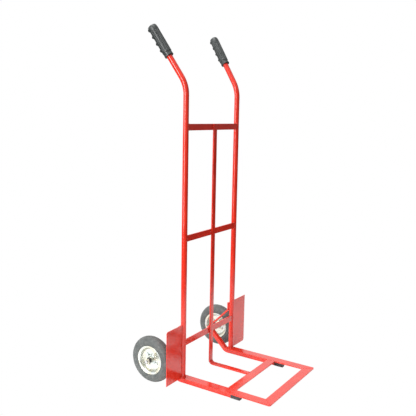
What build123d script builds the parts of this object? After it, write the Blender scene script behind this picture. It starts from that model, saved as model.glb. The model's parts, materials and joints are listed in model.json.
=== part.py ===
from build123d import *
from math import asin, atan2, cos, hypot, radians, sin
import os

# Two-wheeled hand truck. Millimetres, +Z up, floor at z = 0.
# The load stands on the toe, which points to -Y. The wheels are behind the frame, towards +Y.

# ---- driving dimensions ------------------------------------------------------------------
wheel_diameter = 188.0     # solid rubber, nearly 7 1/2 in
tube_od = 22.2             # 7/8 in round frame tube
tube_wall = 1.6
upright_spacing = 374.0    # between the two tube centres
bend_height = 1172.0       # where the upright and the handle would meet if the bend were sharp
bend_radius = 120.0
handle_angle = 33.7        # handle, leaning back from vertical
handle_splay = 11.0        # the handles spread apart by this turn about Z
handle_length = 255.0      # from that meeting point to the tube's upper end

cross_height = 25.0        # flat cross bars between the uprights
cross_thick = 5.0
cross_ahead = 8.0          # their front faces, ahead of the tube centres
cross_centres = {"upper": 1016.5, "middle": 589.5, "lower": 168.5}

strut_width = 22.0         # centre strut, one bent flat bar
strut_thick = 7.0
strut_bend = 12.0          # inside radius at the floor

toe_top = 24.5             # top face of the toe above the floor
toe_width = 404.0
toe_reach = 399.0          # from the upright plane to the toe's front edge
toe_behind = 12.0          # from the upright plane back to the side bars' rear ends
bar_width = 38.0           # flat bars of the toe, 1 1/2 in
bar_thick = 5.0
middle_bar_width = 36.0
middle_bar_reach = 216.0   # upright plane to the centre of the middle bar
toe_corner = 8.0           # rounded front corners

rail_size = 19.0           # 3/4 in square tube under each side bar and up to the axle
rail_wall = 1.6
rail_corner = 2.0
rail_bore_corner = 0.9
rail_reach = 226.0         # upright plane to the rail's front end
heel_behind = 21.0         # upright plane to the corner of the rail's centre line
heel_radius = 30.0         # of the centre line
plug_lip = 0.5             # the end plug is this much wider and deeper than the rail
plug_depth = 14.0
plug_head = 40.0           # the part outside the rail, a glide under the toe

stay_width = 22.0          # flat stay from the upright's back to the top of the axle
stay_thick = 7.0           # the same stock as the strut
stay_bend_height = 200.0
stay_top = 234.0
stay_overrun = 7.0         # past the line where it touches the axle

guard_reach = 112.0        # tube centre to the wheel guard's outer edge
guard_bottom = toe_top
guard_top = 244.0
guard_thick = 2.5
guard_clip = 6.0

axle_behind = 109.0        # upright plane to the axle
axle_diameter = 12.7       # 1/2 in
axle_half_length = 287.0
wheel_centre_x = 246.0
tyre_width = 42.0
bead_radius = 58.5         # outer edge of the pressed rim
rim_thick = 1.5
flange_face = 16.5         # wheel centre to the inside of the rim's flange
hub_length = 38.0
hub_diameter = 27.0
bush_diameter = 22.0       # in the hub's bore
bush_head = 24.0           # where it stands out of the hub
bush_stands_out = 13.0
running_clearance = 0.05   # radial, bush on axle
bolt_circle = 28.0         # radius, the four bolts that hold the rim halves together
bolt_diameter = 6.0

grip_length = 134.0
grip_diameter = 36.4
finger_pitch = 30.0        # between the ridges on the grip's underside

# ---- derived places ----------------------------------------------------------------------
wheel_radius = wheel_diameter / 2
upright_x = upright_spacing / 2
tube_radius = tube_od / 2
axle_radius = axle_diameter / 2
# The origin is under the centre of the truck's outline, so the upright plane sits here.
frame_y = (toe_reach - axle_behind - wheel_radius) / 2
axle_y = frame_y + axle_behind
axle_z = wheel_radius
cross_front_y = frame_y - cross_ahead
half_toe = toe_width / 2
toe_front_y = frame_y - toe_reach
SIDES = (("left", -1), ("right", 1))

os.makedirs("parts", exist_ok=True)


def save(builder, name):
    """Label a finished sub-part and write it to its own STEP file."""
    builder.part.label = name
    export_step(builder.part, f"parts/{name}.step")


def handle_direction(sign):
    """Unit vector up along the handle of one side."""
    lean, turn = radians(handle_angle), radians(handle_splay)
    return Vector(sign * sin(lean) * sin(turn), sin(lean) * cos(turn), cos(lean))


def axle_plane(x):
    """Plane square to the axle and centred on it: first axis +Y, second +Z, normal +X."""
    return Plane(origin=(x, axle_y, axle_z), x_dir=(0, 1, 0), z_dir=(1, 0, 0))


def wheel_section(sign):
    """Half plane for a wheel's profile: first axis outwards along the axle, second up."""
    return Plane(origin=(sign * wheel_centre_x, axle_y, axle_z), x_dir=(sign, 0, 0),
                 z_dir=(0, -sign, 0))


AXLE_LINE = Axis((0, axle_y, axle_z), (1, 0, 0))


# ---- uprights ----------------------------------------------------------------------------
def upright(sign):
    """Round tube, straight up from the toe and then bent back and outwards to the handle."""
    foot = Vector(sign * upright_x, frame_y, toe_top)
    corner = Vector(sign * upright_x, frame_y, bend_height)
    tip = corner + handle_direction(sign) * handle_length
    with BuildPart() as tube:
        with BuildLine() as path:
            FilletPolyline(foot, corner, tip, radius=bend_radius)
        with BuildSketch(Plane(origin=foot, x_dir=(1, 0, 0), z_dir=(0, 0, 1))):
            Circle(tube_radius)
            Circle(tube_radius - tube_wall, mode=Mode.SUBTRACT)
        sweep(path=path.line)
    return tube


# ---- hand grips --------------------------------------------------------------------------
end_wall = 6.0             # closed end of the grip
grip_radius = grip_diameter / 2
collar_radius = 17.6
collar_length = 5.0
neck_radius = 16.9
body_start = 16.5          # from the mouth, where the neck steps up to the body
first_ridge = 33.5         # from the mouth to the top of the first ridge
ridge_radius = 14.0        # each ridge is a barrel, its axis below the grip's own
ridge_drop = 8.0
ridge_rise = 4.0
ridge_half_width = 7.5
flute_count = 16
flute_radius = 1.0
flute_margin = 21.0


def grip(sign):
    """Moulded sleeve with a collar, a neck, a rounded closed end, flutes and finger ridges."""
    along = handle_direction(sign)
    mouth = (Vector(sign * upright_x, frame_y, bend_height)
             + along * (handle_length + end_wall - grip_length))
    sideways = Vector(cos(radians(handle_splay)), -sign * sin(radians(handle_splay)), 0)
    across = Plane(origin=mouth, x_dir=sideways, z_dir=along)
    lengthwise = Plane(origin=mouth, x_dir=along, z_dir=sideways)
    below = mouth + across.y_dir * ridge_drop
    barrel_plane = Plane(origin=below, x_dir=along, z_dir=-sideways)
    outline = [(0, 0), (0, collar_radius - 0.6), (0.6, collar_radius),
               (collar_length, collar_radius), (collar_length, neck_radius),
               (body_start - 1.0, neck_radius), (body_start, grip_radius),
               (grip_length - 17, grip_radius), (grip_length - 11, grip_radius - 1.5),
               (grip_length - 4, grip_radius - 3.6), (grip_length - 1, grip_radius - 5.2),
               (grip_length, grip_radius - 8.0), (grip_length, 0)]
    base = ridge_radius - ridge_rise
    with BuildPart() as sleeve:
        with BuildSketch(lengthwise):
            with BuildLine():
                Polyline(*outline, close=True)
            make_face()
        revolve(axis=Axis(mouth, along))
        for ridge in range(4):
            middle = first_ridge + ridge * finger_pitch
            start, end = middle - ridge_half_width, middle + ridge_half_width
            if ridge == 3:
                end = grip_length - 3
            with BuildSketch(barrel_plane):
                with BuildLine():
                    ThreePointArc((start, base), (middle, ridge_radius), (end, base))
                    Polyline((end, base), (end, 0), (start, 0), (start, base))
                make_face()
            revolve(axis=Axis(below, along))
        with BuildSketch(across.offset(flute_margin)):
            with PolarLocations(grip_radius + 0.3, flute_count, start_angle=160,
                                angular_range=220, endpoint=True):
                Circle(flute_radius)
        extrude(amount=grip_length - 2 * flute_margin, mode=Mode.SUBTRACT)
        with BuildSketch(across):
            Circle(tube_radius)
        extrude(amount=grip_length - end_wall, mode=Mode.SUBTRACT)
    return sleeve


# ---- cross bars --------------------------------------------------------------------------
def cross_bar(centre_height):
    """Flat bar on edge between the uprights, its ends coped round the tubes."""
    with BuildPart() as bar:
        with BuildSketch(Plane.XY.offset(centre_height - cross_height / 2)):
            with Locations((0, cross_front_y + cross_thick / 2)):
                Rectangle(upright_spacing, cross_thick)
            with Locations((-upright_x, frame_y), (upright_x, frame_y)):
                Circle(tube_radius, mode=Mode.SUBTRACT)
        extrude(amount=cross_height)
    return bar


# ---- centre strut ------------------------------------------------------------------------
def centre_strut():
    """Flat bar down the front of the cross bars, bent forward to meet the toe's middle bar."""
    down_y = cross_front_y - strut_thick / 2
    top = cross_centres["upper"] + cross_height / 2
    low = toe_top - strut_thick / 2
    end_y = frame_y - middle_bar_reach + middle_bar_width / 2
    with BuildPart() as strut:
        with BuildLine() as path:
            FilletPolyline((0, down_y, top), (0, down_y, low), (0, end_y, low),
                           radius=strut_bend + strut_thick / 2)
        with BuildSketch(Plane(origin=(0, down_y, top), x_dir=(1, 0, 0), z_dir=(0, 0, -1))):
            Rectangle(strut_width, strut_thick)
        sweep(path=path.line)
    return strut


# ---- toe bars ----------------------------------------------------------------------------
def toe_bar(region):
    """Flat bar: the part of the toe's rounded outline that lies inside a region."""
    with BuildPart() as bar:
        with BuildSketch(Plane.XY.offset(toe_top - bar_thick)) as outline:
            with BuildLine():
                Polyline((-half_toe, frame_y + toe_behind), (half_toe, frame_y + toe_behind),
                         (half_toe, toe_front_y), (-half_toe, toe_front_y), close=True)
            make_face()
            fillet(outline.vertices().group_by(Axis.Y)[0], radius=toe_corner)
            with BuildLine():
                Polyline(*region, close=True)
            make_face(mode=Mode.INTERSECT)
        extrude(amount=bar_thick)
    return bar


inner_toe = half_toe - bar_width
inner_front_y = toe_front_y + bar_width
toe_regions = {
    "toe_front_bar": [(-half_toe, toe_front_y), (half_toe, toe_front_y),
                      (inner_toe, inner_front_y), (-inner_toe, inner_front_y)],
}
for side, sign in SIDES:
    toe_regions[f"toe_side_bar_{side}"] = [
        (sign * half_toe, frame_y + toe_behind), (sign * half_toe, toe_front_y),
        (sign * inner_toe, inner_front_y), (sign * inner_toe, frame_y + toe_behind)]
middle_ends = [frame_y - middle_bar_reach - middle_bar_width / 2,
               frame_y - middle_bar_reach + middle_bar_width / 2]
toe_regions["toe_middle_bar"] = [
    (-inner_toe, middle_ends[0]), (inner_toe, middle_ends[0]),
    (inner_toe, middle_ends[1]), (-inner_toe, middle_ends[1])]

# ---- side rails --------------------------------------------------------------------------
rail_x = half_toe - bar_width / 2
rail_z = toe_top - bar_thick - rail_size / 2
rail_bore = rail_size - 2 * rail_wall
rail_front_y = frame_y - rail_reach


def side_rail(sign):
    """Square tube: back along under the toe, bent at the heel, and up to the axle."""
    start = Vector(sign * rail_x, rail_front_y, rail_z)
    heel = Vector(sign * rail_x, frame_y + heel_behind, rail_z)
    with BuildPart() as rail:
        with BuildLine() as path:
            FilletPolyline(start, heel, (sign * rail_x, axle_y, axle_z), radius=heel_radius)
        with BuildSketch(Plane(origin=start, x_dir=(1, 0, 0), z_dir=(0, 1, 0))):
            RectangleRounded(rail_size, rail_size, rail_corner)
            RectangleRounded(rail_bore, rail_bore, rail_bore_corner, mode=Mode.SUBTRACT)
        sweep(path=path.line)
        with BuildSketch(axle_plane(sign * rail_x)):
            Circle(axle_radius)
        extrude(amount=rail_size, both=True, mode=Mode.SUBTRACT)
    return rail


def rail_plug(sign):
    """Moulded glide in the rail's front end, its head a little larger than the rail."""
    end = Vector(sign * rail_x, rail_front_y, rail_z)
    with BuildPart() as plug:
        with BuildSketch(Plane(origin=end, x_dir=(1, 0, 0), z_dir=(0, 1, 0))):
            RectangleRounded(rail_bore, rail_bore, rail_bore_corner)
        extrude(amount=plug_depth)
        with BuildSketch(Plane(origin=end - Vector(0, 0, plug_lip / 2), x_dir=(1, 0, 0),
                               z_dir=(0, -1, 0))):
            RectangleRounded(rail_size + plug_lip, rail_size + plug_lip, rail_corner)
        extrude(amount=plug_head)
        fillet(plug.faces().sort_by(Axis.Y)[0].edges(), radius=0.8)
    return plug


# ---- axle stays --------------------------------------------------------------------------
def axle_stay(sign):
    """Flat bar up the back of the upright, bent to run down and lie on top of the axle."""
    back_y = frame_y + tube_radius + stay_thick / 2
    head = Vector(sign * upright_x, back_y, stay_top)
    bend = Vector(sign * upright_x, back_y, stay_bend_height)
    to_axle = hypot(axle_y - back_y, stay_bend_height - axle_z)
    line_gap = axle_radius + stay_thick / 2
    slope = atan2(stay_bend_height - axle_z, axle_y - back_y) - asin(line_gap / to_axle)
    run = (to_axle ** 2 - line_gap ** 2) ** 0.5 + stay_overrun
    with BuildPart() as stay:
        with BuildLine() as path:
            FilletPolyline(head, bend, bend + Vector(0, cos(slope), -sin(slope)) * run, radius=10)
        with BuildSketch(Plane(origin=head, x_dir=(1, 0, 0), z_dir=(0, 0, -1))):
            Rectangle(stay_width, stay_thick)
        sweep(path=path.line)
        fillet(stay.faces().sort_by(Axis.Z)[-1].edges().filter_by(Axis.X), radius=1.5)
    return stay


# ---- wheel guards ------------------------------------------------------------------------
def wheel_guard(sign):
    """Steel plate beside the upright. The same plate is turned over for the other side, so the
    left one has its clipped corner at the top and the right one at the bottom."""
    outer_x = sign * (upright_x + guard_reach)
    face_y = frame_y - guard_thick
    clip_z = guard_top if sign < 0 else guard_bottom
    with BuildPart() as guard:
        with BuildSketch(Plane.XY.offset(guard_bottom)):
            with Locations((sign * (upright_x + guard_reach / 2), face_y + guard_thick / 2)):
                Rectangle(guard_reach, guard_thick)
            with Locations((sign * upright_x, frame_y)):
                Circle(tube_radius, mode=Mode.SUBTRACT)
        extrude(amount=guard_top - guard_bottom)
        corner = guard.edges().filter_by(Axis.Y).sort_by_distance((outer_x, face_y, clip_z))[0]
        chamfer(corner, length=guard_clip)
    return guard


# ---- axle and what holds the wheels on it ------------------------------------------------
washer_thick = 2.0
washer_radius = 11.5
spacer_radius = 9.0
pin_radius = 1.5
side_play = 0.4
bush_end = hub_length / 2 + bush_stands_out
washer_inner = wheel_centre_x + bush_end + side_play
pin_x = washer_inner + washer_thick + pin_radius + 0.3
spacer_start = upright_x + stay_width / 2 + 0.2
spacer_end = wheel_centre_x - bush_end - side_play


def axle():
    """Round bar right across, with a cross hole near each end for the split pin."""
    with BuildPart() as bar:
        with BuildSketch(axle_plane(-axle_half_length)):
            Circle(axle_radius)
        extrude(amount=2 * axle_half_length)
        chamfer(bar.edges().filter_by(GeomType.CIRCLE), length=1.2)
        with Locations((-pin_x, axle_y, axle_z), (pin_x, axle_y, axle_z)):
            Cylinder(pin_radius + 0.15, 2 * axle_diameter, mode=Mode.SUBTRACT)
    return bar


def axle_rings(radius, inner, outer):
    """A pair of plain rings on the axle, one on each side of the truck."""
    with BuildPart() as rings:
        for sign in (-1, 1):
            with BuildSketch(axle_plane(sign * inner)):
                Circle(radius)
                Circle(axle_radius + 0.1, mode=Mode.SUBTRACT)
            extrude(amount=sign * (outer - inner))
    return rings


def split_pins():
    """Two split pins, each dropped through the axle, with an eye on top and spread legs below."""
    eye_ring = 2.6
    eye_wire = 1.2
    leg_radius = 0.95
    leg_length = 7.0
    top = axle_radius + 1.0
    with BuildPart() as pins:
        for sign in (-1, 1):
            x = sign * pin_x
            with BuildSketch(Plane(origin=(x, axle_y, axle_z - axle_radius - 0.6))):
                Circle(pin_radius)
            extrude(amount=top + axle_radius + 0.6)
            with Locations(Location((x, axle_y, axle_z + top + eye_ring), (0, 90, 0))):
                Torus(eye_ring, eye_wire)
            for spread in (-38, 38):
                with Locations(Location((x, axle_y, axle_z - axle_radius), (spread, 0, 0))):
                    Cylinder(leg_radius, leg_length,
                             align=(Align.CENTER, Align.CENTER, Align.MAX))
    return pins


# ---- wheels ------------------------------------------------------------------------------
groove_places = (-7.5, -2.5, 2.5, 7.5)
groove_width = 1.4
groove_depth = 3.4


def tyre(sign):
    """Solid rubber tyre: crowned tread with four grooves, round shoulders, seated in the rim."""
    half = tyre_width / 2
    seat = bead_radius - 7.2
    right_side = [(flange_face - 2, seat), (flange_face, bead_radius - 5.0),
                  (flange_face, bead_radius - 0.8), (flange_face + 1.8, bead_radius + 0.8)]
    bulge = (half, bead_radius + 8.0)
    shoulder = (half - 0.8, wheel_radius - 18.0)
    turn = (half - 5.2, wheel_radius - 7.2)
    crown = (half - 12.0, wheel_radius - 1.8)
    with BuildPart() as rubber:
        with BuildSketch(wheel_section(sign)):
            with BuildLine():
                for end in (-1, 1):
                    Polyline((0, seat), *[(end * x, r) for x, r in right_side])
                    ThreePointArc(*[(end * x, r) for x, r in (right_side[-1], bulge, shoulder)])
                    ThreePointArc(*[(end * x, r) for x, r in (shoulder, turn, crown)])
                ThreePointArc(crown, (0, wheel_radius), (-crown[0], crown[1]))
            make_face()
            with Locations(*[(x, wheel_radius - 0.2) for x in groove_places]):
                Rectangle(groove_width, groove_depth, mode=Mode.SUBTRACT)
        revolve(axis=AXLE_LINE)
    return rubber


def rim_half(sign, facing):
    """Pressed steel disc: rolled flange, stepped well, flat web with bolt holes, hub collar.
    facing is 1 for the half that faces outwards and -1 for the one next to the frame."""
    t = rim_thick
    web_top = bead_radius - 13.0
    collar = hub_diameter / 2
    inside_face = [(0, web_top - t), (0, collar + 7 - t), (5.0, collar + 3), (5.0, collar)]
    outside_face = [(5.0 + t, collar), (5.0 + t, collar + 3 + t), (t, collar + 7 + t / 2),
                    (t, web_top - 2 * t), (4.5, web_top + 1.5 - t),
                    (flange_face - 1.0, bead_radius - 7.5 - t),
                    (flange_face + t, bead_radius - 5.5), (flange_face + t, bead_radius - 1.5),
                    (flange_face + 2 * t, bead_radius - 0.5), (flange_face + 2 * t, bead_radius),
                    (flange_face + t + 0.5, bead_radius + 0.3)]
    seat_face = [(flange_face, bead_radius - 1.0), (flange_face, bead_radius - 5.2),
                 (flange_face - 1.5, bead_radius - 7.5), (4.0, web_top + 1.5)]
    profile = inside_face + outside_face + seat_face
    with BuildPart() as disc:
        with BuildSketch(wheel_section(sign)):
            with BuildLine():
                Polyline(*[(facing * x, r) for x, r in profile], close=True)
            make_face()
        revolve(axis=AXLE_LINE)
        with BuildSketch(axle_plane(sign * wheel_centre_x)):
            with PolarLocations(bolt_circle, 4, start_angle=34):
                Circle(bolt_diameter / 2 + 0.2)
        extrude(amount=8, both=True, mode=Mode.SUBTRACT)
    return disc


def hub(sign):
    """Steel tube through both rim halves."""
    with BuildPart() as barrel:
        with BuildSketch(axle_plane(sign * wheel_centre_x)):
            Circle(hub_diameter / 2)
            Circle(bush_diameter / 2, mode=Mode.SUBTRACT)
        extrude(amount=hub_length / 2, both=True)
    return barrel


def bushes(sign):
    """Two flanged nylon bushes, one pushed into each end of the hub."""
    bore = axle_radius + running_clearance
    inside = 1.0
    head_edge = 1.2
    profile = [(inside, bore), (bush_end, bore), (bush_end, bush_head / 2 - head_edge),
               (bush_end - head_edge, bush_head / 2), (hub_length / 2, bush_head / 2),
               (hub_length / 2, bush_diameter / 2), (inside, bush_diameter / 2)]
    with BuildPart() as pair:
        with BuildSketch(wheel_section(sign)):
            for end in (-1, 1):
                with BuildLine():
                    Polyline(*[(end * x, r) for x, r in profile], close=True)
                make_face()
        revolve(axis=AXLE_LINE)
    return pair


def rim_bolts(sign):
    """Four hexagon bolts through the two rim webs, heads outside."""
    with BuildPart() as bolts:
        with BuildSketch(axle_plane(sign * (wheel_centre_x - 8))):
            with PolarLocations(bolt_circle, 4, start_angle=34):
                Circle(bolt_diameter / 2)
        extrude(amount=sign * (8 + rim_thick))
        with BuildSketch(axle_plane(sign * (wheel_centre_x + rim_thick))):
            with PolarLocations(bolt_circle, 4, start_angle=34):
                RegularPolygon(5.0, 6, major_radius=False)
        extrude(amount=sign * 4.0)
    return bolts


def rim_nuts(sign):
    """Four nuts on the inner side of the rim webs."""
    with BuildPart() as nuts:
        with BuildSketch(axle_plane(sign * (wheel_centre_x - rim_thick))):
            with PolarLocations(bolt_circle, 4, start_angle=34):
                RegularPolygon(5.0, 6, major_radius=False)
                Circle(bolt_diameter / 2 + 0.05, mode=Mode.SUBTRACT)
        extrude(amount=-sign * 5.0)
    return nuts


# ---- build and write every sub-part ------------------------------------------------------
for level, height in cross_centres.items():
    save(cross_bar(height), f"{level}_crossbar")
save(centre_strut(), "centre_strut")
for name, region in toe_regions.items():
    save(toe_bar(region), name)
save(axle(), "axle")
save(axle_rings(spacer_radius, spacer_start, spacer_end), "axle_spacers")
save(axle_rings(washer_radius, washer_inner, washer_inner + washer_thick), "axle_washers")
save(split_pins(), "split_pins")
for side, sign in SIDES:
    save(upright(sign), f"upright_{side}")
    save(grip(sign), f"grip_{side}")
    save(side_rail(sign), f"side_rail_{side}")
    save(rail_plug(sign), f"rail_plug_{side}")
    save(axle_stay(sign), f"axle_stay_{side}")
    save(wheel_guard(sign), f"wheel_guard_{side}")
    save(tyre(sign), f"tyre_{side}")
    save(rim_half(sign, 1), f"rim_outer_{side}")
    save(rim_half(sign, -1), f"rim_inner_{side}")
    save(hub(sign), f"hub_{side}")
    save(bushes(sign), f"bushes_{side}")
    save(rim_bolts(sign), f"rim_bolts_{side}")
    save(rim_nuts(sign), f"rim_nuts_{side}")
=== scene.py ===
import json
import math
import random

import bmesh
import bpy
from mathutils import Matrix, Vector


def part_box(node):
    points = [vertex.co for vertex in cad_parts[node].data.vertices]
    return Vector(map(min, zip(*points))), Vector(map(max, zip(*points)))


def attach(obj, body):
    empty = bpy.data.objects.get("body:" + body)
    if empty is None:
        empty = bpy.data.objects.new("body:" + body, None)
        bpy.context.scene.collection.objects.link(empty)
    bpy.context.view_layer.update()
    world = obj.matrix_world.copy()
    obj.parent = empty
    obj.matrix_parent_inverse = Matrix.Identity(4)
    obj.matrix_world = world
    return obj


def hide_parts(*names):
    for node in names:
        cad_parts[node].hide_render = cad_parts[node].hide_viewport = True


# Looks for the two-wheeled hand truck. Everything is in metres, in the frame of the CAD model:
# +Z up, -Y towards the toe, the two wheels on an axle along X behind the frame.

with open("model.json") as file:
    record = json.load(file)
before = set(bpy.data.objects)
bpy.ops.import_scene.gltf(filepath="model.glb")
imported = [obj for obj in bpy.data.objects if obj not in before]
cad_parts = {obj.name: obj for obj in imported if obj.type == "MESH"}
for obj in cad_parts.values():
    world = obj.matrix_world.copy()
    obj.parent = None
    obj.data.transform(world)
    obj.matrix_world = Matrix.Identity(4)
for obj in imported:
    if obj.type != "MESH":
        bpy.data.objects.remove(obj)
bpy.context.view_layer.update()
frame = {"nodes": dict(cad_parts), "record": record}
nodes = frame["nodes"]
SIDES = (("left", -1), ("right", 1))
MM = 0.001

# ---- driving sizes -----------------------------------------------------------------------
tube_radius = 11.1 * MM
upright_x = 187 * MM
bend_height = 1172 * MM        # where the upright and the handle would meet if the bend were sharp
bend_radius = 120 * MM
handle_lean = math.radians(33.7)
handle_splay = math.radians(11.0)
handle_length = 255 * MM
cross_ahead = 8 * MM           # the cross bars' front faces, ahead of the tubes' centres
strut_width = 22 * MM
strut_thick = 7 * MM
strut_bend = 12 * MM           # inside radius of the strut's bend above the toe
flat_roll = 1.6 * MM           # rolled edges of the strut and the stays
stay_bend_height = 200 * MM
stay_bend = 10 * MM
stay_overrun = 7 * MM          # how far a stay runs on past the axle's centre
heel_behind = 21 * MM
heel_radius = 30 * MM
rail_size = 19 * MM
rail_wall = 1.6 * MM
rail_corner = 2.8 * MM         # where a rounded corner starts, from the sharp one
rail_bore_corner = 0.9 * MM
bar_width = 38 * MM
axle_radius = 6.35 * MM
axle_chamfer = 1.2 * MM
spacer_radius = 9 * MM
washer_radius = 11.5 * MM
washer_thick = 2 * MM
pin_wire = 0.85 * MM           # radius of the split pins' wire
pin_eye = 2.7 * MM
wheel_centre_x = 246 * MM
bead_radius = 58.5 * MM        # outer edge of the pressed rim
rim_thick = 1.5 * MM
flange_face = 16.5 * MM        # from the wheel's middle to the seat of the tyre
hub_radius = 13.5 * MM
hub_bore = 11 * MM
hub_half = 19 * MM
bush_end = 32 * MM
bush_flange = 12 * MM
bush_gap = 0.05 * MM           # running clearance round the axle
tread_crown = 1.8 * MM         # how much lower the tread is at its edge than in the middle

# ---- places read from the frame ----------------------------------------------------------
frame_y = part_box("upper_crossbar")[0].y + cross_ahead
cross_front_y = frame_y - cross_ahead
cross_back_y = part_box("upper_crossbar")[1].y
toe_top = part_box("toe_front_bar")[1].z
toe_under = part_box("toe_front_bar")[0].z
half_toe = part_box("toe_side_bar_right")[1].x
inner_toe = half_toe - bar_width
toe_front_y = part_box("toe_front_bar")[0].y
axle_low, axle_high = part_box("axle")
axle_y = (axle_low.y + axle_high.y) / 2
axle_z = (axle_low.z + axle_high.z) / 2
tyre_low, tyre_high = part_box("tyre_right")
wheel_radius = (tyre_high.y - tyre_low.y) / 2
rail_x = half_toe - bar_width / 2
rail_z = toe_under - rail_size / 2
rail_front_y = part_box("side_rail_right")[0].y


def cross_levels():
    """Lowest and highest z of each cross bar."""
    return [(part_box(f"{level}_crossbar")[0].z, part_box(f"{level}_crossbar")[1].z)
            for level in ("upper", "middle", "lower")]


# ---- outlines and paths ------------------------------------------------------------------
def soften(points, radius, steps=4, closed=True):
    """The same outline or path with each corner rounded off by a short curve."""
    result = []
    count = len(points)
    for i, corner in enumerate(points):
        corner = Vector(corner)
        if not closed and i in (0, count - 1):
            result.append(corner)
            continue
        before = Vector(points[i - 1]) - corner
        after = Vector(points[(i + 1) % count]) - corner
        start = corner + before.normalized() * min(radius, 0.45 * before.length)
        end = corner + after.normalized() * min(radius, 0.45 * after.length)
        for k in range(steps + 1):
            t = k / steps
            result.append(start * (1 - t) ** 2 + corner * 2 * t * (1 - t) + end * t ** 2)
    return result


def bent_path(start, corner, end, radius, steps=24):
    """Straight, a true circular bend of the given radius, and straight again."""
    first = (corner - start).normalized()
    second = (end - corner).normalized()
    turn = first.angle(second)
    cut = radius * math.tan(turn / 2)
    inward = (second - first * math.cos(turn)).normalized()
    centre = corner - first * cut + inward * radius
    arc = [centre - inward * radius * math.cos(turn * k / steps)
           + first * radius * math.sin(turn * k / steps) for k in range(steps + 1)]
    return [start] + arc + [end]


def arc_through(a, b, c, steps):
    """Points on the circle through three points in a plane, from a to c past b."""
    ax, ay, bx, by, cx, cy = *a, *b, *c
    d = 2 * (ax * (by - cy) + bx * (cy - ay) + cx * (ay - by))
    aa, bb, cc = ax * ax + ay * ay, bx * bx + by * by, cx * cx + cy * cy
    mx = (aa * (by - cy) + bb * (cy - ay) + cc * (ay - by)) / d
    my = (aa * (cx - bx) + bb * (ax - cx) + cc * (bx - ax)) / d
    radius = math.hypot(ax - mx, ay - my)
    angles = [math.atan2(p[1] - my, p[0] - mx) for p in (a, b, c)]
    for i in (1, 2):
        while angles[i] - angles[i - 1] > math.pi:
            angles[i] -= 2 * math.pi
        while angles[i] - angles[i - 1] < -math.pi:
            angles[i] += 2 * math.pi
    return [(mx + radius * math.cos(t), my + radius * math.sin(t))
            for t in (angles[0] + (angles[2] - angles[0]) * k / steps for k in range(steps + 1))]


def circle(radius, steps):
    """Outline of a circle."""
    return [(radius * math.cos(2 * math.pi * k / steps), radius * math.sin(2 * math.pi * k / steps))
            for k in range(steps)]


def rectangle(width, height, corner):
    """Outline of a rectangle with rounded corners."""
    w, h = width / 2, height / 2
    return [tuple(p) for p in soften([(-w, -h), (w, -h), (w, h), (-w, h)], corner)]


# ---- mesh builders -----------------------------------------------------------------------
def ring_faces(first, second, count):
    """Quads between two rings of vertices that start at these indices."""
    return [(first + k, first + (k + 1) % count, second + (k + 1) % count, second + k)
            for k in range(count)]


def sweep(path, outline, across, scales=None, bore=None):
    """Vertices and faces of an outline carried along a path. across is the outline's first axis.
    bore is a second outline of as many points, for a tube with open ends."""
    verts, faces = [], []
    shells = [outline] + ([bore] if bore else [])
    for shell in shells:
        side = Vector(across)
        for i, point in enumerate(path):
            ahead = path[min(i + 1, len(path) - 1)] - path[max(i - 1, 0)]
            ahead.normalize()
            side = (side - ahead * side.dot(ahead)).normalized()
            other = ahead.cross(side)
            size = scales[i] if scales else 1
            verts += [point + side * u * size + other * v * size for u, v in shell]
    count, rings = len(outline), len(path)
    for i in range(rings - 1):
        faces += ring_faces(i * count, (i + 1) * count, count)
    last = (rings - 1) * count
    if bore:
        inside = rings * count
        for i in range(rings - 1):
            faces += ring_faces(inside + (i + 1) * count, inside + i * count, count)
        faces += ring_faces(0, inside, count) + ring_faces(inside + last, last, count)
    else:
        faces += [tuple(range(count - 1, -1, -1)), tuple(range(last, last + count))]
    return verts, faces


def lathe(profile, centre, sign, steps):
    """A closed profile of (outwards, radius) turned about the axle line. sign picks the side."""
    verts, faces = [], []
    count = len(profile)
    for k in range(steps):
        turn = 2 * math.pi * k / steps
        verts += [centre + Vector((sign * x, r * math.cos(turn), r * math.sin(turn)))
                  for x, r in profile]
    for k in range(steps):
        faces += ring_faces(k * count, (k + 1) % steps * count, count)
    return verts, faces


def merge(parts):
    """One list of vertices and faces from several."""
    verts, faces = [], []
    for more_verts, more_faces in parts:
        start = len(verts)
        verts += more_verts
        faces += [tuple(start + i for i in face) for face in more_faces]
    return verts, faces


def add_piece(name, shape, body, slot, replaced=(), sharp=38):
    """A finished mesh piece that rides on a body and takes the material of a slot. Edges that
    turn by more than sharp degrees stay crisp."""
    mesh = bpy.data.meshes.new(name)
    mesh.from_pydata([tuple(v) for v in shape[0]], [], shape[1])
    editor = bmesh.new()
    editor.from_mesh(mesh)
    bmesh.ops.recalc_face_normals(editor, faces=editor.faces)
    editor.to_mesh(mesh)
    editor.free()
    mesh.shade_smooth()
    mesh.set_sharp_from_angle(angle=math.radians(sharp))
    piece = bpy.data.objects.new(name, mesh)
    bpy.context.scene.collection.objects.link(piece)
    piece.data.materials.append(materials[slot])
    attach(piece, body)
    if replaced:
        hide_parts(*replaced)
    return piece


# ---- material helpers --------------------------------------------------------------------
def make(tree, kind, inputs=None, **options):
    """A shader node. Its inputs are numbers, colours or the sockets that feed them."""
    node = tree.nodes.new(kind)
    for key, value in options.items():
        setattr(node, key, value)
    for key, value in (inputs or {}).items():
        if isinstance(value, bpy.types.NodeSocket):
            tree.links.new(value, node.inputs[key])
        else:
            node.inputs[key].default_value = value
    return node


def noise(tree, vector, scale, detail=2.0):
    """Noise of about 1/scale metres."""
    made = make(tree, "ShaderNodeTexNoise", {"Vector": vector, "Scale": scale, "Detail": detail})
    return made.outputs["Fac"]


def spread(tree, value, low, high, out_low=0.0, out_high=1.0):
    """A value taken from one range to another and held inside it."""
    made = make(tree, "ShaderNodeMapRange", {"Value": value, "From Min": low, "From Max": high,
                                             "To Min": out_low, "To Max": out_high})
    return made.outputs["Result"]


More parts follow.
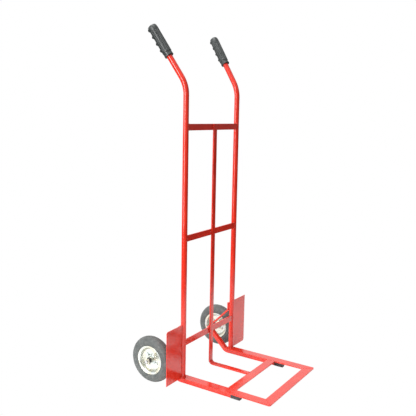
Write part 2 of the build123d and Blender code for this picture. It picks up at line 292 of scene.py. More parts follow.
def patches(tree, vector, scale, detail, low, high, out_low=0.0, out_high=1.0):
    """Noise with its middle range, from low to high, stretched over the output range."""
    return spread(tree, noise(tree, vector, scale, detail), low, high, out_low, out_high)


def times(tree, a, b):
    return make(tree, "ShaderNodeMath", {0: a, 1: b}, operation="MULTIPLY").outputs[0]


def plus(tree, a, b):
    return make(tree, "ShaderNodeMath", {0: a, 1: b}, operation="ADD").outputs[0]


def inverse(tree, value):
    """1 where the value is 0, and 0 where it is 1."""
    return plus(tree, times(tree, value, -1.0), 1.0)


def mixed(tree, factor, a, b):
    """Two colours blended by a factor."""
    made = make(tree, "ShaderNodeMix", {0: factor, 6: a, 7: b}, data_type="RGBA")
    return made.outputs[2]


def bump(tree, height, depth):
    """A bump whose height of 0 to 1 is this many metres deep."""
    made = make(tree, "ShaderNodeBump", {"Height": height, "Distance": depth, "Strength": 1.0})
    return made.outputs["Normal"]


def edge_mask(tree, radius):
    """1 on sharp outer and inner corners, 0 on flat and gently curved faces."""
    rounded = make(tree, "ShaderNodeBevel", {"Radius": radius}, samples=4).outputs["Normal"]
    true = make(tree, "ShaderNodeNewGeometry").outputs["Normal"]
    dot = make(tree, "ShaderNodeVectorMath", {0: rounded, 1: true},
               operation="DOT_PRODUCT").outputs["Value"]
    return spread(tree, dot, 0.97, 0.75)


def start_material(name):
    """A new material, its node tree, its shader and the position that its patterns start from."""
    material = bpy.data.materials.new(name)
    material.use_nodes = True
    tree = material.node_tree
    shader = tree.nodes["Principled BSDF"]
    vector = make(tree, "ShaderNodeTexCoord").outputs["Object"]
    return material, tree, shader, vector


def feed(tree, shader, sockets):
    """Joins each worked-out value to the shader's input of that name."""
    for name, socket in sockets.items():
        tree.links.new(socket, shader.inputs[name])


def height_of(tree, vector):
    """Height above the floor."""
    return make(tree, "ShaderNodeSeparateXYZ", {"Vector": vector}).outputs["Z"]


def axle_distance(tree, vector):
    """Distance of a point from the axle line."""
    low = make(tree, "ShaderNodeVectorMath", {0: vector, 1: (0, axle_y, axle_z)},
               operation="SUBTRACT").outputs["Vector"]
    flat = make(tree, "ShaderNodeVectorMath", {0: low, 1: (0, 1, 1)},
                operation="MULTIPLY").outputs["Vector"]
    return make(tree, "ShaderNodeVectorMath", {0: flat}, operation="LENGTH").outputs["Value"]


def turned_lines(tree, distance, pitch):
    """A wave that rises and falls once every pitch away from the axle, as a lathe leaves."""
    return make(tree, "ShaderNodeMath", {0: times(tree, distance, 2 * math.pi / pitch)},
                operation="SINE").outputs[0]


# ---- materials ---------------------------------------------------------------------------
def red_paint():
    """Glossy red enamel: uneven thickness, orange peel, dust low down, a few chipped edges."""
    thin, thick, speck = (0.66, 0.029, 0.012, 1), (0.57, 0.021, 0.009, 1), (0.70, 0.08, 0.06, 1)
    dust_tan, primer = (0.34, 0.17, 0.13, 1), (0.11, 0.055, 0.045, 1)
    material, tree, shader, vector = start_material("red_paint")
    colour = mixed(tree, patches(tree, vector, 11, 4, 0.35, 0.65), thin, thick)
    nib = patches(tree, vector, 820, 1, 0.74, 0.80)
    colour = mixed(tree, times(tree, nib, 0.35), colour, speck)
    height = height_of(tree, vector)
    low_down = spread(tree, height, 0.10, 0.0)
    dust = times(tree, low_down, patches(tree, vector, 34, 5, 0.50, 0.74, 0.0, 0.25))
    colour = mixed(tree, dust, colour, dust_tan)
    chipped = times(tree, edge_mask(tree, 1.0 * MM), patches(tree, vector, 210, 4, 0.66, 0.72))
    chips = times(tree, chipped, spread(tree, height, 0.30, 0.02, 0.1, 0.7))
    colour = mixed(tree, chips, colour, primer)
    rough = patches(tree, vector, 60, 3, 0.3, 0.7, 0.12, 0.22)
    rough = plus(tree, rough, times(tree, plus(tree, dust, chips), 0.45))
    peel = plus(tree, noise(tree, vector, 420, 1), times(tree, noise(tree, vector, 90, 1), 2.0))
    surface = bump(tree, plus(tree, peel, times(tree, nib, 0.8)), 0.016 * MM)
    feed(tree, shader, {"Base Color": colour, "Roughness": rough, "Normal": surface})
    shader.inputs["IOR"].default_value = 1.52
    return material


def grip_rubber():
    """Satin moulded rubber with a fine grain, pale specks and rubbed edges."""
    dark, light = (0.016, 0.020, 0.020, 1), (0.030, 0.035, 0.034, 1)
    speck, rubbed = (0.10, 0.105, 0.10, 1), (0.09, 0.10, 0.095, 1)
    material, tree, shader, vector = start_material("grip_black")
    colour = mixed(tree, patches(tree, vector, 45, 5, 0.35, 0.65), dark, light)
    colour = mixed(tree, patches(tree, vector, 1300, 2, 0.66, 0.76, 0.0, 0.35), colour, speck)
    rub = times(tree, edge_mask(tree, 1.2 * MM), patches(tree, vector, 160, 3, 0.4, 0.6))
    colour = mixed(tree, times(tree, rub, 0.5), colour, rubbed)
    rough = patches(tree, vector, 80, 3, 0.3, 0.7, 0.30, 0.44)
    grain = plus(tree, noise(tree, vector, 1500, 2), times(tree, noise(tree, vector, 500, 1), 0.8))
    feed(tree, shader, {"Base Color": colour, "Roughness": rough,
                        "Normal": bump(tree, grain, 0.03 * MM)})
    return material


def plug_plastic():
    """Matte black plastic, scuffed by the floor on its lower edge."""
    black, scuffed = (0.018, 0.018, 0.020, 1), (0.13, 0.125, 0.12, 1)
    material, tree, shader, vector = start_material("plug_black")
    near_floor = spread(tree, height_of(tree, vector), 8 * MM, 0.0, 0.1, 0.8)
    scuff = times(tree, patches(tree, vector, 190, 5, 0.50, 0.68), near_floor)
    feed(tree, shader, {"Base Color": mixed(tree, scuff, black, scuffed),
                        "Roughness": spread(tree, scuff, 0, 1, 0.42, 0.8),
                        "Normal": bump(tree, noise(tree, vector, 1400, 3), 0.05 * MM)})
    return material


def bare_steel():
    """Drawn steel bar: fine lines along X, oil-darkened, with a bloom of rust here and there."""
    oiled, bright = (0.40, 0.40, 0.41, 1), (0.58, 0.58, 0.58, 1)
    rust_brown = (0.17, 0.075, 0.035, 1)
    material, tree, shader, vector = start_material("bare_steel")
    drawn = make(tree, "ShaderNodeVectorMath", {0: vector, 1: (14, 1, 1)},
                 operation="MULTIPLY").outputs["Vector"]
    lines = noise(tree, drawn, 900, 3)
    colour = mixed(tree, spread(tree, lines, 0.3, 0.7), oiled, bright)
    rust = patches(tree, vector, 70, 6, 0.60, 0.74)
    colour = mixed(tree, times(tree, rust, 0.7), colour, rust_brown)
    rough = plus(tree, spread(tree, lines, 0.3, 0.7, 0.26, 0.40), times(tree, rust, 0.35))
    feed(tree, shader, {"Base Color": colour, "Metallic": spread(tree, rust, 0, 1, 0.95, 0.15),
                        "Roughness": rough, "Normal": bump(tree, lines, 0.02 * MM)})
    return material


def zinc_plate():
    """Bright zinc over pressed steel: yellow and blue tints, spinning lines, dull spots."""
    white, yellow = (0.56, 0.60, 0.59, 1), (0.60, 0.58, 0.47, 1)
    blue, grey = (0.62, 0.68, 0.71, 1), (0.50, 0.51, 0.50, 1)
    material, tree, shader, vector = start_material("zinc")
    colour = mixed(tree, patches(tree, vector, 38, 4, 0.38, 0.62), white, yellow)
    cool = patches(tree, vector, 63, 3, 0.55, 0.70)
    colour = mixed(tree, times(tree, cool, 0.5), colour, blue)
    dull = patches(tree, vector, 140, 5, 0.58, 0.72)
    colour = mixed(tree, times(tree, dull, 0.45), colour, grey)
    rough = plus(tree, patches(tree, vector, 300, 3, 0.3, 0.7, 0.24, 0.38), times(tree, dull, 0.2))
    ripple = turned_lines(tree, axle_distance(tree, vector), 0.9 * MM)
    lines = plus(tree, times(tree, ripple, 0.25), noise(tree, vector, 700, 2))
    feed(tree, shader, {"Base Color": colour, "Metallic": spread(tree, dull, 0, 1, 0.95, 0.7),
                        "Roughness": rough, "Normal": bump(tree, lines, 0.02 * MM)})
    return material


def tyre_rubber():
    """Grey-black solid rubber: dusty, worn pale on the tread, with a fine cast grain."""
    dark, light = (0.050, 0.058, 0.057, 1), (0.085, 0.093, 0.090, 1)
    scuffed, dust_grey = (0.15, 0.145, 0.14, 1), (0.19, 0.185, 0.17, 1)
    material, tree, shader, vector = start_material("tyre_rubber")
    colour = mixed(tree, patches(tree, vector, 30, 5, 0.32, 0.68), dark, light)
    tread = spread(tree, axle_distance(tree, vector), wheel_radius - 9 * MM, wheel_radius - 1 * MM)
    scuffs = times(tree, tread, patches(tree, vector, 260, 5, 0.42, 0.62, 0.1, 0.75))
    colour = mixed(tree, scuffs, colour, scuffed)
    colour = mixed(tree, patches(tree, vector, 95, 6, 0.52, 0.74, 0.0, 0.40), colour, dust_grey)
    rough = patches(tree, vector, 120, 3, 0.3, 0.7, 0.50, 0.64)
    rough = plus(tree, rough, times(tree, tread, 0.18))
    grain = plus(tree, noise(tree, vector, 1100, 3), times(tree, noise(tree, vector, 260, 4), 0.9))
    feed(tree, shader, {"Base Color": colour, "Roughness": rough,
                        "Normal": bump(tree, grain, 0.09 * MM)})
    return material


def nylon():
    """Black nylon with turned lines round the axle and grease-darkened patches."""
    greasy, dry = (0.016, 0.016, 0.018, 1), (0.040, 0.040, 0.042, 1)
    material, tree, shader, vector = start_material("nylon_black")
    dryness = patches(tree, vector, 170, 4, 0.42, 0.62)
    ripple = turned_lines(tree, axle_distance(tree, vector), 0.5 * MM)
    lines = plus(tree, times(tree, ripple, 0.4), noise(tree, vector, 900, 2))
    feed(tree, shader, {"Base Color": mixed(tree, dryness, greasy, dry),
                        "Roughness": spread(tree, dryness, 0, 1, 0.26, 0.50),
                        "Normal": bump(tree, lines, 0.03 * MM)})
    return material


materials = {"red_paint": red_paint(), "grip_black": grip_rubber(), "plug_black": plug_plastic(),
             "bare_steel": bare_steel(), "zinc": zinc_plate(), "tyre_rubber": tyre_rubber(),
             "nylon_black": nylon()}


# ---- CAD nodes that stay -----------------------------------------------------------------
def soft_edges(node, width):
    """Rounds a CAD node's edges a little, as paint and pressing do."""
    weld = node.modifiers.new("join", "WELD")
    weld.merge_threshold = 0.002 * MM
    flat = node.modifiers.new("flat faces", "DECIMATE")
    flat.decimate_type = "DISSOLVE"
    flat.angle_limit = math.radians(0.5)
    bevel = node.modifiers.new("edges", "BEVEL")
    bevel.width = width
    bevel.segments = 3
    bevel.limit_method = "ANGLE"
    bevel.angle_limit = math.radians(40)
    bevel.use_clamp_overlap = True
    normals = node.modifiers.new("normals", "WEIGHTED_NORMAL")
    normals.keep_sharp = True


edge_widths = {"toe_": 0.8, "upper_crossbar": 0.8, "middle_crossbar": 0.8, "lower_crossbar": 0.8,
               "wheel_guard": 0.5, "rail_plug": 0.5, "rim_bolts": 0.4, "rim_nuts": 0.35}  # mm


def finish_cad_nodes():
    """Every node gets its slot's material, and the nodes that no mesh replaces get soft edges."""
    for row in frame["record"]["subparts"]:
        node = nodes[row["node"]]
        node.data.materials.clear()
        node.data.materials.append(materials[row["material_slot"]])
        for start, width in edge_widths.items():
            if row["node"].startswith(start):
                soft_edges(node, width * MM)


# ---- frame pieces ------------------------------------------------------------------------
def handle_direction(sign):
    """Unit vector up along one handle."""
    return Vector((sign * math.sin(handle_lean) * math.sin(handle_splay),
                   math.sin(handle_lean) * math.cos(handle_splay), math.cos(handle_lean)))


def add_uprights():
    """Smooth round bars with a true bend; their capped tops are hidden in the grips."""
    for side, sign in SIDES:
        foot = Vector((sign * upright_x, frame_y, toe_top))
        corner = Vector((sign * upright_x, frame_y, bend_height))
        tip = corner + handle_direction(sign) * handle_length
        path = bent_path(foot, corner, tip, bend_radius, 40)
        shape = sweep(path, circle(tube_radius, 64), (1, 0, 0))
        add_piece(f"upright_{side}_tube", shape, "frame", "red_paint", [f"upright_{side}"])


def add_strut():
    """Flat bar with rolled edges, down the cross bars' fronts and forward along the toe."""
    down_y = cross_front_y - strut_thick / 2
    low = toe_top - strut_thick / 2
    top = Vector((0, down_y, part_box("centre_strut")[1].z))
    corner = Vector((0, down_y, low))
    end = Vector((0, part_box("centre_strut")[0].y, low))
    path = bent_path(top, corner, end, strut_bend + strut_thick / 2)
    shape = sweep(path, rectangle(strut_width, strut_thick, flat_roll), (1, 0, 0))
    add_piece("centre_strut_bar", shape, "frame", "red_paint", ["centre_strut"])


def add_rails():
    """Square tubes with rounded corners, bent once at the heel."""
    for side, sign in SIDES:
        x = sign * rail_x
        path = bent_path(Vector((x, rail_front_y, rail_z)),
                         Vector((x, frame_y + heel_behind, rail_z)),
                         Vector((x, axle_y, axle_z)), heel_radius)
        inside = rail_size - 2 * rail_wall
        bore = rectangle(inside, inside, rail_bore_corner)
        shape = sweep(path, rectangle(rail_size, rail_size, rail_corner), (1, 0, 0), bore=bore)
        add_piece(f"side_rail_{side}_tube", shape, "frame", "red_paint", [f"side_rail_{side}"])


def add_stays():
    """Flat bars with rolled edges from the uprights' backs down on to the axle."""
    back_y = frame_y + tube_radius + strut_thick / 2
    rise = stay_bend_height - axle_z
    to_axle = math.hypot(axle_y - back_y, rise)
    line_gap = axle_radius + strut_thick / 2
    slope = math.atan2(rise, axle_y - back_y) - math.asin(line_gap / to_axle)
    run = math.sqrt(to_axle ** 2 - line_gap ** 2) + stay_overrun
    for side, sign in SIDES:
        x = sign * upright_x
        head = Vector((x, back_y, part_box("axle_stay_left")[1].z))
        bend = Vector((x, back_y, stay_bend_height))
        foot = bend + Vector((0, math.cos(slope), -math.sin(slope))) * run
        path = bent_path(head, bend, foot, stay_bend, 12)
        shape = sweep(path, rectangle(strut_width, strut_thick, flat_roll), (1, 0, 0))
        add_piece(f"axle_stay_{side}_bar", shape, "frame", "red_paint", [f"axle_stay_{side}"])


# ---- weld beads --------------------------------------------------------------------------
bead_pitch = 2.6 * MM          # from one ripple's crest to the next
random.seed(4)


def bead(path, size):
    """One run of weld along straight stretches: overlapping ripples that taper at both ends."""
    points = []
    for a, b in zip(path[:-1], path[1:]):
        count = max(2, round((b - a).length / bead_pitch * 4))
        points += [a.lerp(b, k / count) for k in range(count)]
    points.append(path[-1])
    scales = []
    for i in range(len(points)):
        taper = min(1.0, 0.45 + 0.2 * min(i, len(points) - 1 - i))
        ripple = 0.86 + 0.20 * abs(math.sin(math.pi * i / 4))
        scales.append(taper * ripple * random.uniform(0.94, 1.06))
    ahead = points[-1] - points[0]
    if ahead.length <= MM:         # the run closes on itself
        ahead = points[1] - points[0]
    across = Vector((0, 0, 1)) if abs(ahead.normalized().z) < 0.9 else Vector((1, 0, 0))
    return sweep(points, circle(size, 10), across, scales)


def ring(centre, radius, first_axis, second_axis, steps=28, turn=2 * math.pi):
    """Points round part of a circle, as a path for a bead."""
    return [centre + first_axis * radius * math.cos(turn * k / steps)
            + second_axis * radius * math.sin(turn * k / steps) for k in range(steps + 1)]


def cross_bar_welds():
    """Round each end of each cross bar, and down both edges of the strut."""
    front_gap = math.sqrt(tube_radius ** 2 - cross_ahead ** 2)
    back_gap = math.sqrt(tube_radius ** 2 - (frame_y - cross_back_y) ** 2)
    runs = []
    for low, high in cross_levels():
        for sign in (-1, 1):
            front_x = sign * (upright_x - front_gap)
            back_x = sign * (upright_x - back_gap)
            corners = [Vector((front_x, cross_front_y, low)),
                       Vector((front_x, cross_front_y, high)),
                       Vector((back_x, cross_back_y, high)), Vector((back_x, cross_back_y, low))]
            runs.append(corners + corners[:1])
            edge = sign * (strut_width / 2 + 0.2 * MM)
            runs.append([Vector((edge, cross_front_y, low + 2 * MM)),
                         Vector((edge, cross_front_y, high - 2 * MM))])
    return merge([bead(run, 2.1 * MM) for run in runs])


def toe_welds():
    """Seams of the toe's flat bars, the strut's end, and the stitches under the side bars."""
    middle_front, middle_back = (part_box("toe_middle_bar")[i].y for i in (0, 1))
    stitch, pitch = 24 * MM, 72 * MM
    runs = []
    for sign in (-1, 1):
        seam_z = toe_top - 1.1 * MM
        runs.append([Vector((sign * inner_toe, middle_front, seam_z)),
                     Vector((sign * inner_toe, middle_back, seam_z))])
        runs.append([Vector((sign * (half_toe - 2 * MM), toe_front_y + 2 * MM, seam_z)),
                     Vector((sign * inner_toe, toe_front_y + bar_width, seam_z))])
        under_y = rail_front_y + 14 * MM
        while under_y < frame_y - 30 * MM:
            for edge in (-1, 1):
                x = sign * rail_x + edge * (rail_size / 2 - 0.3 * MM)
                runs.append([Vector((x, under_y, toe_under)),
                             Vector((x, under_y + stitch, toe_under))])
            under_y += pitch
    end_z = toe_top - 0.8 * MM
    runs.append([Vector((-strut_width / 2, middle_back, end_z)),
                 Vector((strut_width / 2, middle_back, end_z))])
    return merge([bead(run, 1.8 * MM) for run in runs])


def upright_welds():
    """Round each upright's foot, and up both sides of each stay's head."""
    runs = []
    groove = 8 * MM
    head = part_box("axle_stay_left")[1].z
    for sign in (-1, 1):
        foot = Vector((sign * upright_x, frame_y, toe_top + 0.5 * MM))
        runs.append(ring(foot, tube_radius + 0.7 * MM, Vector((1, 0, 0)), Vector((0, 1, 0))))
        for edge in (-1, 1):
            x = sign * upright_x + edge * groove
            y = frame_y + math.sqrt(tube_radius ** 2 - groove ** 2) + 1.2 * MM
            runs.append([Vector((x, y, stay_bend_height + 4 * MM)), Vector((x, y, head - 3 * MM))])
    return merge([bead(run, 2.4 * MM) for run in runs])


def axle_welds():
    """Round the axle on both faces of each rail, and along each stay's foot."""
    runs = []
    gap = strut_thick / 2 + axle_radius
    half_seam = 9 * MM
    for sign in (-1, 1):
        for face in (-1, 1):
            centre = Vector((sign * rail_x + face * (rail_size / 2 + 0.3 * MM), axle_y, axle_z))
            runs.append(ring(centre, axle_radius + 0.6 * MM, Vector((0, 1, 0)), Vector((0, 0, 1))))
        for y_shift, z_shift in ((-0.30, 0.75), (0.72, 0.40)):
            start = Vector((sign * upright_x - half_seam, axle_y + y_shift * gap,
                            axle_z + z_shift * gap))
            runs.append([start, start + Vector((2 * half_seam, 0, 0))])
    return merge([bead(run, 1.9 * MM) for run in runs])


def guard_welds():
    """Three stitches down each wheel guard's inner edge, front and back."""
    low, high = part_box("wheel_guard_left")
    stitch = 26 * MM
    runs = []
    for sign in (-1, 1):
        for y in (low.y, high.y):
            x = sign * (upright_x + math.sqrt(tube_radius ** 2 - (frame_y - y) ** 2) + 0.3 * MM)
            for part in (0.08, 0.45, 0.82):
                z = low.z + part * (high.z - low.z)
                runs.append([Vector((x, y, z)), Vector((x, y, z + stitch))])
    return merge([bead(run, 1.8 * MM) for run in runs])


def add_welds():
    """All beads, as one piece for each kind of joint."""
    for name, shape in (("cross_bar_welds", cross_bar_welds()), ("toe_welds", toe_welds()),
                        ("upright_welds", upright_welds()), ("axle_welds", axle_welds()),
                        ("guard_welds", guard_welds())):
        add_piece(name, shape, "frame", "red_paint", sharp=75)


# ---- hand grips --------------------------------------------------------------------------
grip_outline = ((0, 16.8), (0.8, 17.6), (4.5, 17.6), (5.3, 16.9), (15.0, 16.9), (16.6, 18.2),
                (119, 18.2), (126, 17.5), (130, 16.5), (132.6, 15.0), (133.7, 13.2), (134, 11.0))
grip_end = 134                 # closed end, in mm from the mouth like all the grip's sizes
bore_end = 128
bore_radius = tube_radius / MM + 0.05
core_radius = 0.2              # a hair-thin hole where the end faces close
flutes_from, flutes_to = 20, 114
flute_count = 20
flute_depth = 1.1
grip_ridges = (33.5, 63.5, 93.5, 123.5)
ridge_drop = 8.0               # how far below the grip's centre line each barrel's own centre is
ridge_half_width = 6.5
ridge_height = 4.6
barrel_low, barrel_rise = 10, 4.9   # a barrel's radius at its edge, and what its middle adds


def grip_profile(t):
    """Radius in mm of the plain sleeve, t mm from its mouth."""
    for (t0, r0), (t1, r1) in zip(grip_outline[:-1], grip_outline[1:]):
        if t <= t1:
            return r0 + (r1 - r0) * (t - t0) / (t1 - t0)
    return grip_outline[-1][1]


def grip_radius(t, turn):
    """Radius in mm of the grip's surface. turn is 0 along the underside, where the ridges are."""
    radius = grip_profile(t)
    fade = max(0.0, min(1.0, (t - flutes_from) / 4, (flutes_to - t) / 4))
    upper = max(0.0, min(1.0, 1.2 - 2.2 * math.cos(turn)))
    radius -= flute_depth * fade * upper * max(0.0, math.cos(flute_count * turn)) ** 0.7
    for middle in grip_ridges:
        away = abs(t - middle)
        if away < ridge_half_width or (middle == grip_ridges[-1] and t > middle):
            rise = math.cos(math.pi / 2 * min(away / ridge_half_width, 0.98)) ** 0.8
            barrel = barrel_low + barrel_rise * rise
            inside = barrel ** 2 - (ridge_drop * math.sin(turn)) ** 2
            if inside > 0 and math.cos(turn) > 0:
                reach = ridge_drop * math.cos(turn) + math.sqrt(inside)
                limit = radius + ridge_height * min(1.0, (grip_end - t) / 3)
                radius = max(radius, min(reach, limit))
    return radius


def grip_rings(steps):
    """(Distance from the mouth, radius) of every point, ring by ring: the outside from the closed
    end to the mouth, then the bore from the mouth back to its own end."""
    lengths = sorted({float(k) for k in range(grip_end)} | {t for t, _ in grip_outline})
    outside = [[(t, grip_radius(t, 2 * math.pi * k / steps)) for k in range(steps)]
               for t in reversed(lengths)]
    bore = [[point] * steps for point in ((0, bore_radius), (bore_end, bore_radius),
                                          (bore_end, core_radius))]
    return [[(grip_end, core_radius)] * steps] + outside + bore


def add_grips():
    """Closed sleeves with collar, flutes and four finger ridges, hollow for the tube."""
    steps = 8 * flute_count
    rings = grip_rings(steps)
    for side, sign in SIDES:
        along = handle_direction(sign)
        mouth = (Vector((sign * upright_x, frame_y, bend_height))
                 + along * (handle_length - bore_end * MM))
        sideways = Vector((math.cos(handle_splay), -sign * math.sin(handle_splay), 0))
        under = along.cross(sideways)
        verts = [mouth + along * t * MM + (under * math.cos(2 * math.pi * k / steps)
                                           + sideways * math.sin(2 * math.pi * k / steps)) * r * MM
                 for points in rings for k, (t, r) in enumerate(points)]
        faces = []
        for i in range(len(rings) - 1):
            faces += ring_faces(i * steps, (i + 1) * steps, steps)
        last = (len(rings) - 1) * steps
        faces += [tuple(range(steps)), tuple(range(last, last + steps))]
        add_piece(f"grip_{side}_sleeve", (verts, faces), "frame", "grip_black",
                  [f"grip_{side}"], 50)


# ---- axle --------------------------------------------------------------------------------
def add_axle():
    """The bar with chamfered ends. A hair-thin hole down its middle keeps the turned mesh clean."""
    centre = Vector((0, axle_y, axle_z))
    half, core = axle_high.x, 0.3 * MM
    outline = [(-half, core), (half, core), (half, axle_radius - axle_chamfer),
               (half - axle_chamfer, axle_radius), (axle_chamfer - half, axle_radius),
               (-half, axle_radius - axle_chamfer)]
    add_piece("axle_bar", lathe(outline, centre, 1, 64), "frame", "bare_steel", ["axle"], 30)


def add_axle_rings():
    """A spacer inside and a washer outside each wheel."""
    centre = Vector((0, axle_y, axle_z))
    bore = axle_radius + 0.1 * MM
    washer_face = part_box("axle_washers")[1].x
    for name, inner, outer, radius, edge in (
            ("axle_spacers", upright_x + strut_width / 2 + 0.2 * MM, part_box("axle_spacers")[1].x,
             spacer_radius, 0.6 * MM),
            ("axle_washers", washer_face - washer_thick, washer_face, washer_radius, 0.4 * MM)):
        outline = [(inner, bore), (outer, bore), (outer, radius), (inner, radius)]
        profile = [tuple(p) for p in soften(outline, edge)]
        shape = merge([lathe(profile, centre, sign, 72) for sign in (-1, 1)])
        add_piece(f"{name}_turned", shape, "frame", "zinc", [name])


def add_split_pins():
    """Bent wire: an eye on top, two legs through the axle, spread below it."""
    half_gap = 0.8 * MM
    top = axle_z + axle_radius + 1.4 * MM
    low = axle_z - axle_radius - 0.4 * MM
    pin_x = (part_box("split_pins")[1].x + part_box("axle_washers")[1].x) / 2
    shapes = []
    for sign in (-1, 1):
        centre = Vector((sign * pin_x, axle_y, top + pin_eye))
        legs = [[centre + Vector((0, side * half_gap, low - centre.z)),
                 centre + Vector((0, side * 5.4 * MM, low - centre.z - 5.6 * MM))]
                for side in (-1, 1)]
        loop = ring(centre, pin_eye, Vector((0, 0, -1)), Vector((0, -1, 0)), 24)[2:-2]
        path = [legs[0][1], legs[0][0]] + loop + [legs[1][0], legs[1][1]]
        path = soften(path, 1.2 * MM, 4, closed=False)
        shapes.append(sweep(path, circle(pin_wire, 14), (1, 0, 0)))
    add_piece("split_pins_wire", merge(shapes), "frame", "zinc", ["split_pins"], 60)


# ---- wheels ------------------------------------------------------------------------------
moulded_rings = ((64, 0.35, 0.7), (73, 0.55, 1.0), (76.5, 0.3, 0.5), (84, -0.5, 0.6))
groove_middles = (7.5, 2.5)
groove_outline = ((1.1, 0), (0.75, 0.25), (0.6, 3.2), (-0.6, 3.2), (-0.75, 0.25), (-1.1, 0))


def moulded(radius):
    """How far the rings moulded in the tyre's wall stand out at this radius. Each ring is its
    radius, its height (below 0 for a groove) and its half width, in mm."""
    return MM * sum(height * math.exp(-((radius / MM - middle) / width) ** 2)
                    for middle, height, width in moulded_rings)


def tread_grooves(half_crown):
    """The crowned tread with two grooves each side of its middle, from the edge inwards. The
    outline of a groove is (across, down) in mm."""
    points = []
    for middle in groove_middles:
        for shift, drop in groove_outline:
            x = (middle + shift) * MM
            points.append((x, wheel_radius - tread_crown * (x / half_crown) ** 2 - drop * MM))
    return points


def tyre_profile():
    """Closed outline: seat in the rim, bulging walls with moulded rings, grooved tread."""
    half = (tyre_high.x - tyre_low.x) / 2
    seat = [(flange_face - 2 * MM, bead_radius - 7.2 * MM), (flange_face, bead_radius - 5 * MM),
            (flange_face, bead_radius - 0.8 * MM)]
    lip = (flange_face + 1.8 * MM, bead_radius + 0.8 * MM)
    bulge = (half - 0.3 * MM, bead_radius + 8 * MM)
    shoulder = (half - 1.1 * MM, wheel_radius - 18 * MM)
    turn = (half - 5.4 * MM, wheel_radius - 7.2 * MM)
    crown = (half - 12.2 * MM, wheel_radius - tread_crown)
    wall = arc_through(lip, bulge, shoulder, 40) + arc_through(shoulder, turn, crown, 40)[1:]
    wall = [(x + moulded(radius), radius) for x, radius in wall]
    middle = [(0.4 * MM, wheel_radius), (0.25 * MM, wheel_radius)]
    side = seat + wall + tread_grooves(crown[0]) + middle
    return side + [(-x, radius) for x, radius in reversed(side)]


def rim_profile(facing):
    """Pressed disc: rolled flange, dished well, stepped web and a collar round the hub. The
    outline runs down the inner face to the collar, up the outer face and back round the flange."""
    t, web_top, f = rim_thick, bead_radius - 13 * MM, flange_face
    points = [(0, web_top - t), (0, hub_radius + 7 * MM - t), (5 * MM, hub_radius + 3 * MM),
              (5 * MM, hub_radius), (5 * MM + t, hub_radius), (5 * MM + t, hub_radius + 3 * MM + t),
              (t, hub_radius + 7 * MM + t / 2), (t, web_top - 2 * t),
              (4.5 * MM, web_top + 1.5 * MM - t), (f - 1 * MM, bead_radius - 7.5 * MM - t),
              (f + t, bead_radius - 5.5 * MM), (f + t, bead_radius - 1.5 * MM),
              (f + 2 * t, bead_radius - 0.5 * MM), (f + 2 * t, bead_radius),
              (f + t + 0.5 * MM, bead_radius + 0.3 * MM), (f, bead_radius - 1 * MM),
              (f, bead_radius - 5.2 * MM), (f - 1.5 * MM, bead_radius - 7.5 * MM),
              (4 * MM, web_top + 1.5 * MM)]
    return [(facing * p.x, p.y) for p in soften(points, 1.3 * MM)]


def hub_profile():
    """A plain tube through both discs."""
    points = [(-hub_half, hub_bore), (hub_half, hub_bore), (hub_half, hub_radius),
              (-hub_half, hub_radius)]
    return [tuple(p) for p in soften(points, 0.5 * MM)]


def bush_profile(end):
    """A sleeve in the hub's bore with a chamfered flange outside it. end picks the hub's end."""
    bore, start, chamfer = axle_radius + bush_gap, 1 * MM, 1.2 * MM
    points = [(start, bore), (bush_end, bore), (bush_end, bush_flange - chamfer),
              (bush_end - chamfer, bush_flange), (hub_half, bush_flange), (hub_half, hub_bore),
              (start, hub_bore)]
    return [(end * p.x, p.y) for p in soften(points, 0.4 * MM)]


def add_wheels():
    """Everything that turns, except the bolts and nuts, which stay CAD nodes."""
    for side, sign in SIDES:
        centre = Vector((sign * wheel_centre_x, axle_y, axle_z))
        for node, ending, profile, slot, steps, sharp in (
                ("tyre", "rubber", tyre_profile(), "tyre_rubber", 192, 40),
                ("rim_outer", "disc", rim_profile(1), "zinc", 144, 38),
                ("rim_inner", "disc", rim_profile(-1), "zinc", 144, 38),
                ("hub", "tube", hub_profile(), "zinc", 96, 38)):
            add_piece(f"{node}_{side}_{ending}", lathe(profile, centre, sign, steps),
                      f"wheel_{side}", slot, [f"{node}_{side}"], sharp)
        shape = merge([lathe(bush_profile(end), centre, sign, 96) for end in (-1, 1)])
        add_piece(f"bushes_{side}_turned", shape, f"wheel_{side}", "nylon_black",
                  [f"bushes_{side}"])


# ---- camera, light and floor -------------------------------------------------------------
camera_place = (-2.032, -1.2006, 1.0657)
camera_heading = math.radians(32.89)   # from +X towards +Y
camera_dip = math.radians(8.94)
camera_roll = math.radians(1.04)
camera_lens = 51.54                    # mm, on a sensor 36 mm wide
room_light = 0.28                      # in front, where the room would be
backdrop_light = 1.45
ceiling_light = 0.9
floor_glow = 0.35
seen_white = 1.0                       # what the camera itself sees of the background
sweep_reach = 0.9                      # metres of lit paper round the truck


def add_camera():
    """From the front left, about level with the upper cross bar, looking a little down."""
    forward = Vector((math.cos(camera_heading) * math.cos(camera_dip),
                      math.sin(camera_heading) * math.cos(camera_dip), -math.sin(camera_dip)))
    level = Vector((math.sin(camera_heading), -math.cos(camera_heading), 0))
    right = math.cos(camera_roll) * level + math.sin(camera_roll) * level.cross(forward)
    above = right.cross(forward)
    data = bpy.data.cameras.new("camera")
    data.lens = camera_lens
    data.sensor_width = 36
    camera = bpy.data.objects.new("camera", data)
    camera.matrix_world = (Matrix.Translation(camera_place)
                           @ Matrix((right, above, -forward)).transposed().to_4x4())
    bpy.context.scene.collection.objects.link(camera)
    bpy.context.scene.camera = camera


def area_light(name, place, target, width, height, power):
    """A rectangular light that faces a target; power is in watts."""
    data = bpy.data.lights.new(name, "AREA")
    data.shape = "RECTANGLE"
    data.size, data.size_y = width, height
    data.energy = power
    light = bpy.data.objects.new(name, data)
    light.location = place
    light.rotation_euler = (Vector(target) - Vector(place)).to_track_quat("-Z", "Y").to_euler()
    bpy.context.scene.collection.objects.link(light)


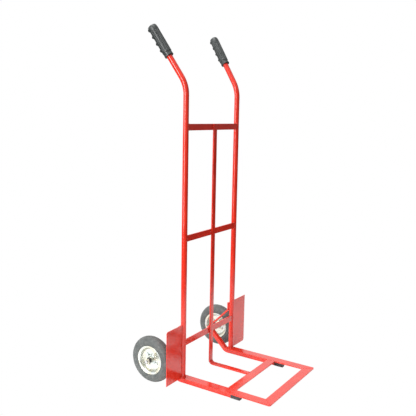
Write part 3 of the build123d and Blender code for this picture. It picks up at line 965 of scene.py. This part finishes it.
def seen_and_unseen(tree):
    """1 for what the camera itself sees, 0 for what only lights and reflects; and the inverse."""
    seen = make(tree, "ShaderNodeLightPath").outputs["Is Camera Ray"]
    return seen, inverse(tree, seen)


def add_world():
    """Bright behind the truck, a little less above it, dark in front where a room would be.
    The camera itself sees plain white."""
    world = bpy.data.worlds.new("studio")
    world.use_nodes = True
    tree = world.node_tree
    background = tree.nodes["Background"]
    direction = make(tree, "ShaderNodeTexCoord").outputs["Generated"]
    parts = make(tree, "ShaderNodeSeparateXYZ", {"Vector": direction}).outputs
    walls = spread(tree, parts["Y"], -0.30, 0.20, room_light, backdrop_light)
    above = spread(tree, parts["Z"], 0.35, 0.80)
    light = plus(tree, times(tree, walls, inverse(tree, above)), times(tree, above, ceiling_light))
    seen, unseen = seen_and_unseen(tree)
    light = plus(tree, times(tree, light, unseen), times(tree, seen, seen_white))
    tree.links.new(light, background.inputs["Strength"])
    background.inputs["Color"].default_value = (1, 1, 1, 1)
    bpy.context.scene.world = world


def add_floor():
    """A sweep of paper, lit near the truck, that the camera sees as the background's own white."""
    black, unlit, dim, bright = [(grey, grey, grey, 1) for grey in (0, 0.06, 0.86, 0.90)]
    bpy.ops.mesh.primitive_plane_add(size=60)
    floor = bpy.context.object
    floor.name = "floor"
    material, tree, shader, vector = start_material("floor")
    away = make(tree, "ShaderNodeVectorMath", {0: vector}, operation="LENGTH").outputs["Value"]
    lit = spread(tree, away, sweep_reach * 1.6, sweep_reach)
    paper = mixed(tree, lit, unlit, mixed(tree, noise(tree, vector, 3, 2), dim, bright))
    seen, unseen = seen_and_unseen(tree)
    glow = plus(tree, times(tree, times(tree, lit, floor_glow), unseen),
                times(tree, seen, seen_white))
    feed(tree, shader, {"Base Color": mixed(tree, seen, paper, black), "Emission Strength": glow})
    shader.inputs["Roughness"].default_value = 0.9
    shader.inputs["Specular IOR Level"].default_value = 0.0
    shader.inputs["Emission Color"].default_value = (1, 1, 1, 1)
    floor.data.materials.append(material)


def add_studio():
    """A white studio, with two soft lights on the left that draw a streak down the tubes."""
    add_world()
    area_light("strip", place=(-2.4, 0.42, 1.25), target=(-0.1, 0.1, 0.75),
               width=0.8, height=2.3, power=62)
    area_light("top", place=(-0.5, 0.5, 3.1), target=(0, -0.1, 0.3),
               width=1.8, height=1.8, power=52)
    bpy.context.scene.view_settings.view_transform = "Standard"
    add_floor()


finish_cad_nodes()
add_uprights()
add_strut()
add_rails()
add_stays()
add_welds()
add_grips()
add_axle()
add_axle_rings()
add_split_pins()
add_wheels()
add_camera()
add_studio()
